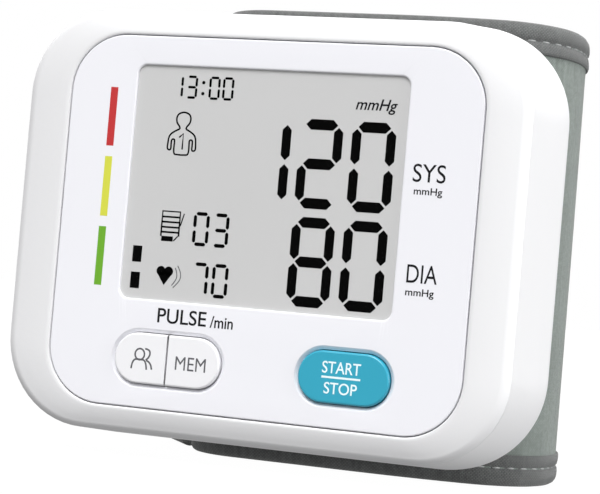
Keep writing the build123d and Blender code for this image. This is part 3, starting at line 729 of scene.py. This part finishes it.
lettering("unitOnDisplay", "mmHg", (13.3, 19.75, 18.1, 20.3), shownDepth, printBlack, "casing",
          lean=0.25, weight=0.012)
torso = [(-14.52, 14.3), (-15.5, 13.85), (-16.2, 13.2), (-16.3, 12.0), (-16.35, 11.1), (-15.7, 11.0), (-15.75, 12.0),
         (-15.72, 12.7), (-15.2, 12.7), (-15.22, 12.0), (-15.25, 10.9), (-15.1, 10.4), (-14.6, 10.38), (-14.0, 10.35)]
headLine = [(-14.52, 14.3), (-14.5, 14.6), (-15.1, 15.2), (-15.2, 16.1), (-14.75, 16.75), (-14.0, 16.85)]
strokes("personSign", [(True, torso), (True, mirrored(torso)), (True, headLine), (True, mirrored(headLine))], 0.27)
strokes("personFigure", [(False, [(-14.5, 13.0), (-13.86, 13.6), (-13.86, 11.2)])], 0.27)
pageLines = [(False, [(-16.12, z), (-13.2, z)]) for z in (0.88, 0.1, -0.68, -1.44)]
strokes("pageSign", [(False, [(-16.12, -2.1), (-16.12, 1.72), (-13.2, 1.72), (-13.2, -2.0)])] + pageLines, 0.29)
strokes("pageFoot", [(False, [(-16.0, -2.44), (-14.1, -2.44)])], 0.78)
strokes("pagePen", [(False, [(-13.98, -2.72), (-13.35, -2.0)]), (False, [(-12.55, 1.5), (-13.05, -0.4)])], 0.2)
strokes("beatWaves", [(True, [(-13.25, -6.75), (-12.85, -7.6), (-12.95, -8.6), (-13.65, -9.45)]),
                      (True, [(-12.9, -6.4), (-12.2, -7.4), (-12.35, -8.8), (-13.4, -9.75)])], 0.15, material=printGrey)

# heart: two round lobes, each with a triangle down to the shared point
heart = {"at": (-14.94, -7.98), "lobe": 0.74, "lobeAt": (0.63, 0.62), "side": (1.34, 0.42), "tip": -1.5}
bm = bmesh.new()
lobeX, lobeZ = heart["lobeAt"]
sideX, sideZ = heart["side"]
for hand in (-1, 1):
    made = bmesh.ops.create_circle(bm, cap_ends=True, segments=28, radius=heart["lobe"] * mm)["verts"]
    bmesh.ops.translate(bm, vec=(hand * lobeX * mm, lobeZ * mm, 0), verts=made)
    low = bmesh.ops.create_circle(bm, cap_ends=True, segments=3, radius=heart["lobe"] * mm)["verts"]
    for vert, (x, z) in zip(low, ((0, heart["tip"]), (hand * sideX, sideZ), (0, lobeZ))):
        vert.co = (x * mm, z * mm, 0)
raised = bmesh.ops.extrude_face_region(bm, geom=bm.faces[:], use_keep_orig=True)
bmesh.ops.translate(bm, vec=(0, 0, inkThick * mm), verts=newVerts(raised))
setOnFace(bm, bm.verts, *heart["at"], inkDepth + inkThick)
place(bm, "heartSign", segmentBlack, "casing", smooth=False)

printRise, barRise = 0.004, 0.012
for name, words, box, weight in (
    ("sysPrint", "SYS", (23.05, 28.0, 8.55, 11.2), 0.0), ("sysUnit", "mmHg", (23.4, 27.7, 6.4, 7.78), 0.012),
    ("diaPrint", "DIA", (23.4, 28.0, -6.05, -3.4), 0.0), ("diaUnit", "mmHg", (23.4, 27.7, -8.25, -6.87), 0.012),
    ("pulsePrint", "PULSE", (-15.3, -7.3, -15.2, -12.95), 0.008),
    ("perMinutePrint", "/min", (-6.65, -2.95, -15.25, -13.45), 0.012),
):
    lettering(name, words, box, -printRise, printBlack, "casing", weight=weight)
scale = {"wide": 1.22, "at": -25.8}
for name, material, low, high in (
    ("redBar", printRed, 11.1, 20.13), ("yellowBar", printYellow, 0.3, 9.47), ("greenBar", printGreen, -10.3, -1.3),
):
    bm = bmesh.new()
    bar(bm, scale["wide"], high - low, (scale["at"], (high + low) / 2), False, 0, -barRise, inkThick)
    place(bm, name, material, "casing", smooth=False)

keyTop = -keyShape["proud"]
keyPrint = keyTop - printRise
lettering("memoryPrint", "MEM", (-11.55, -6.6, -22.0, -19.98), keyPrint, printGrey, "memory_key", weight=-0.002)
for name, words, box in (
    ("startPrint", "START", (11.85, 17.8, -20.2, -18.45)), ("stopPrint", "STOP", (12.35, 17.45, -23.2, -21.5)),
):
    lettering(name, words, box, keyPrint, printPale, "start_key", weight=0.008)
bm = bmesh.new()
bar(bm, 6.0, 0.3, (14.85, -20.78), False, 0, keyTop - barRise, inkThick)
place(bm, "startRule", printPale, "start_key", smooth=False)
user = {"head": (-17.5, -20.2), "headHalf": (0.78, 0.84), "line": 0.27}
fullTurn = [(user["head"][0] + user["headHalf"][0] * math.cos(math.radians(a)),
             user["head"][1] + user["headHalf"][1] * math.sin(math.radians(a))) for a in range(0, 361, 15)]
strokes("userPrint", [
    (False, fullTurn),
    (True, [(-18.75, -22.45), (-18.65, -21.05), (-17.5, -20.95), (-16.35, -21.05), (-16.22, -22.45)]),
    (True, [(-16.68, -19.32), (-15.8, -19.35), (-15.85, -20.6), (-16.45, -21.0)]),
    (True, [(-16.35, -21.05), (-15.5, -21.3), (-15.38, -22.35)]),
], user["line"], keyPrint, printGrey, "user_key")
print("display figures and print ready")

# ---- cuff

cuff = {
    "near": 20.4, "flatFrom": -9.4, "flatLong": 21.15, "foldX": 0.0, "stepLong": 1.25,
    "rightArcs": [(80.0, 12.0), (13.0, 64.0), (18.0, 14.0), (33.974, 35.0), (22.0, 35.0), (60.0, 20.0)],
    "lean": 0.0045,
    "leftArcs": [(9.6, -90.0, 1), (9.5, 36.0, -1)], "tuckLong": 6.8,
    "half": 36.0, "clothHalf": 35.3, "wall": 4.6, "backDepth": 67.2336, "seamX": 5.0,
}


def stepOn(bm, vert, heading, run):
    # one straight or curved run from a vertex; gives the run's end and the new heading
    if run[0] == "line":
        count = max(1, round(run[1] / cuff["stepLong"]))
        stride = Vector((math.cos(heading), math.sin(heading), 0)) * run[1] / count * mm
        for _ in range(count):
            vert = bmesh.ops.extrude_vert_indiv(bm, verts=[vert])["verts"][0]
            vert.co += stride
        return vert, heading
    radius, turn, count = run[1:]
    swing = math.radians(turn)
    side = math.copysign(math.pi / 2, turn)
    centre = vert.co + Vector((math.cos(heading + side), math.sin(heading + side), 0)) * radius * mm
    swept = bmesh.ops.spin(bm, geom=[vert], cent=centre, axis=(0, 0, 1), dvec=(0, 0, 0), angle=swing, steps=count,
                           use_duplicate=False)
    last = [g for g in swept["geom_last"] if isinstance(g, bmesh.types.BMVert)][0]
    return last, heading + swing


def stepCount(radius, turn):
    return max(2, round(abs(math.radians(turn)) * radius / cuff["stepLong"]))


def follow(bm, start, heading, runs):
    vert = bmesh.ops.create_vert(bm, co=start)["vert"][0]
    begun = vert
    for run in runs:
        vert, heading = stepOn(bm, vert, heading, run)
    return begun, vert


def ordered(begun):
    # the vertices of a line, from one end to the other
    chain, last = [begun], None
    while True:
        onward = [e.other_vert(chain[-1]) for e in chain[-1].link_edges if e.other_vert(chain[-1]) is not last]
        if not onward:
            return chain
        last = chain[-1]
        chain.append(onward[0])


def cuffRow(bm, inset, z):
    # the cuff wall's line in plan at one depth below its outer face, from the tucked end round to the fold
    corner = Vector((cuff["flatFrom"] * mm, (frontY + cuff["near"] + inset) * mm, (midZ + z) * mm))
    left = [("arc", r - side * inset, turn, stepCount(r, turn)) for r, turn, side in cuff["leftArcs"]]
    end = follow(bm, corner, math.pi, left + [("line", cuff["tuckLong"])])[1]
    right = [("line", cuff["flatLong"] - cuff["lean"] * z)]
    right += [("arc", r - inset, turn, stepCount(r, turn)) for r, turn in cuff["rightArcs"]]
    last = follow(bm, corner, 0.0, right)[1]
    stepOn(bm, last, math.pi, ("line", last.co.x / mm - cuff["seamX"]))
    bmesh.ops.remove_doubles(bm, verts=[v for v in bm.verts if (v.co - corner).length < 1e-6], dist=1e-6)
    return ordered(end)


strapPlan = {"flat": 8.4, "arcs": [(50.0, 20.0), (11.7, 70.0), (18.0, 36.0)], "tip": 12.0, "wall": 1.95,
             "seamGap": 0.25, "hookIn": 2.0, "bendHalf": 3.4}


def strapRow(bm, inset, z, early=0.0, short=0.0):
    start = Vector(((cuff["foldX"] + early) * mm, (frontY + cuff["backDepth"] - inset) * mm, (midZ + z) * mm))
    runs = [("line", early + strapPlan["flat"])]
    runs += [("arc", r - inset, turn, stepCount(r, turn)) for r, turn in strapPlan["arcs"]]
    runs += [("line", strapPlan["tip"] - short)]
    return ordered(follow(bm, start, math.pi, runs)[0])


def clothMesh():
    bm = bmesh.new()
    bm.verts.layers.float.new("along")
    bm.verts.layers.float.new("across")
    bm.loops.layers.uv.new("clothMap")
    return bm


def clothTube(bm, rows):
    # joins rows of equal length into a closed form and maps it: along the row, and along the profile
    along = bm.verts.layers.float["along"]
    across = bm.verts.layers.float["across"]
    travel = [0.0]
    for first, second in zip(rows[0], rows[0][1:]):
        travel.append(travel[-1] + (second.co - first.co).length)
    climb = 0.0
    for number, row in enumerate(rows):
        if number:
            climb += (row[len(row) // 2].co - rows[number - 1][len(row) // 2].co).length
        for vert, distance in zip(row, travel):
            vert[along], vert[across] = distance, climb
    bridged(bm, [list(dict.fromkeys(edge for vert in row for edge in vert.link_edges)) for row in rows], closed=True)
    for end in (0, -1):
        ring = [row[end] for row in rows]
        edges = [e for e in bm.edges if e.verts[0] in ring and e.verts[1] in ring and e.is_boundary]
        bmesh.ops.contextual_create(bm, geom=edges)
    cloth = bm.loops.layers.uv["clothMap"]
    for face in bm.faces:
        for loop in face.loops:
            loop[cloth].uv = (loop.vert[along], loop.vert[across])


weaveWaves = {"edgeRound": 0.25, "edgeRise": 0.3, "across": 90, "up": 28}


def wallProfile(outer, inner, half, rowStep):
    # up a cloth wall's outer face, over its rounded edge and down its inner face
    turn, rise = weaveWaves["edgeRound"], weaveWaves["edgeRise"]
    count = max(2, round(2 * half / rowStep))
    heights = [-half + rise + 2 * (half - rise) * step / count for step in range(count + 1)]
    profile = [(outer + turn, -half)] + [(outer, z) for z in heights] + [(outer + turn, half), (inner - turn, half)]
    return profile + [(inner, z) for z in reversed(heights)] + [(inner - turn, -half)]


def clothWall(name, maker, insets, half, material, body, stands=(), rowStep=2.6, ripple=0.06):
    bm = clothMesh()
    clothTube(bm, [maker(bm, inset, z) for inset, z in wallProfile(*insets, half, rowStep)])
    bmesh.ops.recalc_face_normals(bm, faces=bm.faces)
    for vert in bm.verts:
        x, y, z = vert.co
        wave = noise.noise(Vector((x * weaveWaves["across"], y * weaveWaves["across"], z * weaveWaves["up"])))
        vert.co += Vector((vert.normal.x, vert.normal.y, 0)) * wave * ripple * mm
    return place(bm, name, material, body, stands)


clothHalf = cuff["clothHalf"]
cuffCover = clothWall("cuffCover", cuffRow, (0.0, 0.9), clothHalf, coverCloth, "casing", ["cuff_cover"])
cuffLining = clothWall("cuffLining", cuffRow, (3.65, 4.6), clothHalf, liningCloth, "casing",
                       ["cuff_lining"], ripple=0.22)

# folded binding over each rim, pinched along its stitch line
fold = {
    "outer": [(0.10, 31.25), (-0.14, 31.02), (-0.34, 31.12), (-0.42, 31.5), (-0.40, 32.1), (-0.26, 32.75), (-0.02, 33.02),
              (-0.02, 33.16), (-0.27, 33.45), (-0.37, 34.0), (-0.36, 34.6), (-0.24, 35.2), (0.06, 35.62), (0.5, 35.88),
              (1.0, 35.97)],  # inset and height
    "pucker": 0.07, "puckerLong": 2.5, "puckerAt": 33.1, "puckerHalf": 2.2, "waves": 160, "waveRise": 0.09,
}
# how the fold sits on each wall: its share of the outer face's insets, and the corners inside the fold
cuffFold = {"wall": cuff["wall"], "share": 1.0, "inside": (0.15, 35.25)}
strapFold = {"wall": strapPlan["wall"], "share": 0.75, "inside": (0.12, 35.3)}


def bindingFold(name, maker, fit, side, body, node):
    bm = clothMesh()
    wall, (insideIn, insideZ) = fit["wall"], fit["inside"]
    outer = [(inset * fit["share"], z) for inset, z in fold["outer"]]
    profile = outer + [(wall / 2, cuff["half"])] + [(wall - inset, z) for inset, z in reversed(outer)]
    profile += [(wall - insideIn, insideZ), (insideIn, insideZ)]
    clothTube(bm, [maker(bm, inset, z * side) for inset, z in profile])
    bmesh.ops.recalc_face_normals(bm, faces=bm.faces)
    along = bm.verts.layers.float["along"]
    for vert in bm.verts:
        height = abs(vert.co.z / mm - midZ)
        near = max(0.0, 1 - abs(height - fold["puckerAt"]) / fold["puckerHalf"])
        swell = math.sin(vert[along] / mm * 2 * math.pi / fold["puckerLong"]) * fold["pucker"] * near
        drift = noise.noise(vert.co * fold["waves"]) * fold["waveRise"]
        vert.co += Vector((vert.normal.x, vert.normal.y, 0)) * (swell + drift) * mm
    return place(bm, name, bindingCloth, body, [node])


bindingFold("bindingTop", cuffRow, cuffFold, 1, "casing", "binding_top")
bindingFold("bindingBottom", cuffRow, cuffFold, -1, "casing", "binding_bottom")
print("cuff ready")


# strap: its cloth runs on over the fold onto the cuff's back, so it bends there
def strapCloth(bm, inset, z):
    return strapRow(bm, inset, z, early=cuff["seamX"] - strapPlan["seamGap"])


def hookRow(bm, inset, z):
    return strapRow(bm, inset, z, early=-strapPlan["hookIn"], short=strapPlan["hookIn"])


foldLine = Vector((cuff["foldX"] * mm, (frontY + cuff["backDepth"]) * mm, faceMid.z))
bendHalf = Vector((strapPlan["bendHalf"] * mm, 0, 0))
strapCover = clothWall("strapCover", strapCloth, (0.0, 0.98), clothHalf, coverCloth, None, ["strap"],
                       rowStep=2.9)
hookPatch = clothWall("hookPatch", hookRow, (1.06, 1.94), 30.4, hookTape, "strap", ["strap_hook_patch"],
                      ripple=0.02)
strapTopBinding = bindingFold("strapBindingTop", strapCloth, strapFold, 1, None, "strap_binding_top")
strapBottomBinding = bindingFold("strapBindingBottom", strapCloth, strapFold, -1, None, "strap_binding_bottom")
for piece in (strapCover, strapTopBinding, strapBottomBinding):
    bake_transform(piece, "casing", "strap", foldLine + bendHalf, foldLine - bendHalf)

# upright tapes folded round the cloth's cut ends
tape = {"wide": 3.0, "proud": 0.34, "core": 0.05, "half": 35.4}


def endTape(name, maker, atStart, base, wall, side, body):
    # base is the depth in the wall of the tape's outer side; side is 1 where the wall's inner face is on the left
    guide = bmesh.new()
    row = [v.co.copy() for v in maker(guide, base, 0)]
    guide.free()
    end, before = (row[0], row[1]) if atStart else (row[-1], row[-2])
    heading = math.atan2((end - before).y, (end - before).x)
    outward = Vector((math.cos(heading), math.sin(heading), 0))
    inward = Vector((-outward.y, outward.x, 0)) * side

    def tapeRow(bm, inset, z):
        start = Vector((end.x, end.y, (midZ + z) * mm)) - outward * tape["wide"] * mm + inward * inset * mm
        runs = [("line", tape["wide"]), ("arc", wall / 2 - inset, side * 180, 10), ("line", tape["wide"])]
        return ordered(follow(bm, start, heading, runs)[0])

    insets = (-tape["proud"], wall / 2 - tape["core"])
    return clothWall(name, tapeRow, insets, tape["half"], bindingCloth, body, rowStep=3.0, ripple=0.03)


endTape("tuckTape", cuffRow, True, 0.0, cuff["wall"], -1, "casing")
endTape("foldTape", cuffRow, False, 2.3, 2.3, 1, "casing")
tipTape = endTape("tipTape", strapCloth, False, 0.0, strapPlan["wall"], 1, "strap")

# stitches along each binding
stitch = {"every": 2.5, "long": 1.55, "thick": 0.3, "height": 33.09,
          "seamCount": 27, "seamLow": -29.9, "seamEvery": 2.3, "seamIn": 1.6, "seamProud": 0.04}


def oneStitch(bm, size):
    made = bmesh.ops.create_uvsphere(bm, u_segments=6, v_segments=4, radius=0.5 * mm)["verts"]
    bmesh.ops.scale(bm, vec=size, verts=made)
    return made


def stitchLine(name, maker, inset, side, body):
    guide = bmesh.new()
    row = [v.co.copy() for v in maker(guide, inset, stitch["height"] * side)]
    guide.free()
    bm = bmesh.new()
    gone = stitch["every"] / 2 * mm
    for first, second in zip(row, row[1:]):
        span = (second - first).length
        heading = (second - first).normalized()
        while gone < span:
            made = oneStitch(bm, (stitch["long"], stitch["thick"], stitch["thick"]))
            turned(bm, made, math.degrees(math.atan2(heading.y, heading.x)), "Z")
            bmesh.ops.translate(bm, vec=first + heading * gone, verts=made)
            gone += stitch["every"] * mm
        gone -= span
    return place(bm, name, stitchThread, body, recalc=False)


for side, word in ((1, "Top"), (-1, "Bottom")):
    stitchLine("stitches" + word, cuffRow, -0.02, side, "casing")
    stitchLine("stitchesInside" + word, cuffRow, cuff["wall"] + 0.02, side, "casing")
    strapStitches = stitchLine("strapStitches" + word, strapCloth, -0.03, side, None)
    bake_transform(strapStitches, "casing", "strap", foldLine + bendHalf, foldLine - bendHalf)
bm = bmesh.new()
seamX, seamY = cuff["seamX"] - stitch["seamIn"], frontY + cuff["backDepth"] + stitch["seamProud"]
for step in range(stitch["seamCount"]):
    made = oneStitch(bm, (stitch["thick"], stitch["thick"], stitch["long"]))
    seamZ = midZ + stitch["seamLow"] + step * stitch["seamEvery"]
    bmesh.ops.translate(bm, vec=Vector((seamX, seamY, seamZ)) * mm, verts=made)
place(bm, "seamStitches", stitchThread, "casing", recalc=False)
print("strap ready")

# ---- finishes of the inner parts
steelPlain = mouldedMaterial("steelPlain", (0.55, 0.55, 0.56), 0.32, 3000.0, 0.05, **{"Metallic": 1.0})
brassPlain = mouldedMaterial("brassPlain", (0.70, 0.52, 0.24), 0.3, 3000.0, 0.05, **{"Metallic": 1.0})
boardGreen = mouldedMaterial("boardGreen", (0.02, 0.15, 0.06), 0.45, 1500.0, 0.1)
darkMoulding = mouldedMaterial("darkMoulding", (0.02, 0.02, 0.022), 0.5, 1500.0, 0.15)
greyMoulding = mouldedMaterial("greyMoulding", (0.32, 0.32, 0.33), 0.5, 1500.0, 0.15)
softRubber = mouldedMaterial("softRubber", (0.05, 0.05, 0.05), 0.7, 1200.0, 0.2)
siliconeTube = mouldedMaterial("siliconeTube", (0.72, 0.72, 0.68), 0.4, 900.0, 0.05)
cellWrap = mouldedMaterial("cellWrap", (0.06, 0.09, 0.14), 0.25, 900.0, 0.03, **{"Coat Weight": 0.4})
innerFinishes = {
    "steel": steelPlain, "brass_metal": brassPlain, "board_green": boardGreen, "black_plastic": darkMoulding,
    "grey_plastic": greyMoulding, "soft_rubber": softRubber, "silicone": siliconeTube, "cell_wrap": cellWrap,
    "white_shell": whiteShell, "lcd_grey": displayGrey,
}
for part in frame["record"]["subparts"]:
    finish = innerFinishes.get(part["material_slot"])
    node = nodes.get(part["node"])
    if node and finish:
        node.data.materials.clear()
        node.data.materials.append(finish)

print("all pieces ready")
